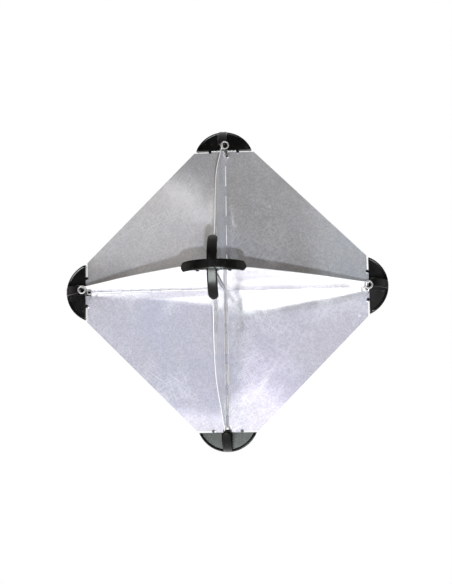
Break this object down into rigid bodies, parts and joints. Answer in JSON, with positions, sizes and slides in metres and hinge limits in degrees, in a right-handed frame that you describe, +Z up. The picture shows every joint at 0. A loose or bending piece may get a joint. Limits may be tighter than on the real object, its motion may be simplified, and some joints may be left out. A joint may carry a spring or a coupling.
{
  "type": "octahedral radar reflector",
  "caption": "Fold-flat octahedral radar reflector: thin aluminium sheets crossing at right angles, held square by moulded corner caps, with lashing rings.",
  "frame": {"origin": "the point where the three sheet planes cross, which is the centre of the bounding box", "axes": "+Z up through the top cap, +X through the right cap; the whole square sheet lies in the XZ plane and -Y is the side with the lashing rings"},
  "size_m": [0.4, 0.4, 0.4],
  "materials": {
    "sheet": "mill-finish rolled sheet, bright, lightly scuffed",
    "hinge_wire": "drawn stainless wire",
    "cap": "moulded, satin black",
    "ring": "bright stainless wire"
  },
  "bodies": {
    "sheets": {"main_plate": "sheet", "front_upper_leaf": "sheet", "front_right_leaf": "sheet", "front_lower_leaf": "sheet", "front_left_leaf": "sheet", "rear_upper_leaf": "sheet", "rear_right_leaf": "sheet", "rear_lower_leaf": "sheet", "rear_left_leaf": "sheet", "upper_hinge_wire": "hinge_wire", "right_hinge_wire": "hinge_wire", "lower_hinge_wire": "hinge_wire", "left_hinge_wire": "hinge_wire"},
    "top_cap": {"top_cap": "cap"},
    "right_cap": {"right_cap": "cap"},
    "bottom_cap": {"bottom_cap": "cap"},
    "left_cap": {"left_cap": "cap"},
    "front_cap": {"front_cap": "cap"},
    "rear_cap": {"rear_cap": "cap"},
    "top_lashing_ring": {"top_lashing_ring": "ring"},
    "left_lashing_ring": {"left_lashing_ring": "ring"},
    "right_lashing_ring": {"right_lashing_ring": "ring"}
  },
  "joints": [
    {"name": "top_cap_pull", "type": "slide", "parent": "sheets", "child": "top_cap", "axis": [0, 0, 1], "range_m": [0, 0.03]},
    {"name": "right_cap_pull", "type": "slide", "parent": "sheets", "child": "right_cap", "axis": [1, 0, 0], "range_m": [0, 0.03]},
    {"name": "bottom_cap_pull", "type": "slide", "parent": "sheets", "child": "bottom_cap", "axis": [0, 0, -1], "range_m": [0, 0.03]},
    {"name": "left_cap_pull", "type": "slide", "parent": "sheets", "child": "left_cap", "axis": [-1, 0, 0], "range_m": [0, 0.03]},
    {"name": "front_cap_pull", "type": "slide", "parent": "sheets", "child": "front_cap", "axis": [0, -1, 0], "range_m": [0, 0.03]},
    {"name": "rear_cap_pull", "type": "slide", "parent": "sheets", "child": "rear_cap", "axis": [0, 1, 0], "range_m": [0, 0.03]},
    {"name": "top_lashing_ring_swing", "type": "hinge", "parent": "sheets", "child": "top_lashing_ring", "pos_m": [0.00126, -0.03633, 0.17373], "axis": [0, -1, 0], "range_deg": [0, 180]},
    {"name": "left_lashing_ring_swing", "type": "hinge", "parent": "sheets", "child": "left_lashing_ring", "pos_m": [-0.17373, -0.03633, 0.00126], "axis": [0, 1, 0], "range_deg": [0, 180]},
    {"name": "right_lashing_ring_swing", "type": "hinge", "parent": "sheets", "child": "right_lashing_ring", "pos_m": [0.17373, -0.03633, -0.00126], "axis": [0, -1, 0], "range_deg": [0, 180]}
  ]
}
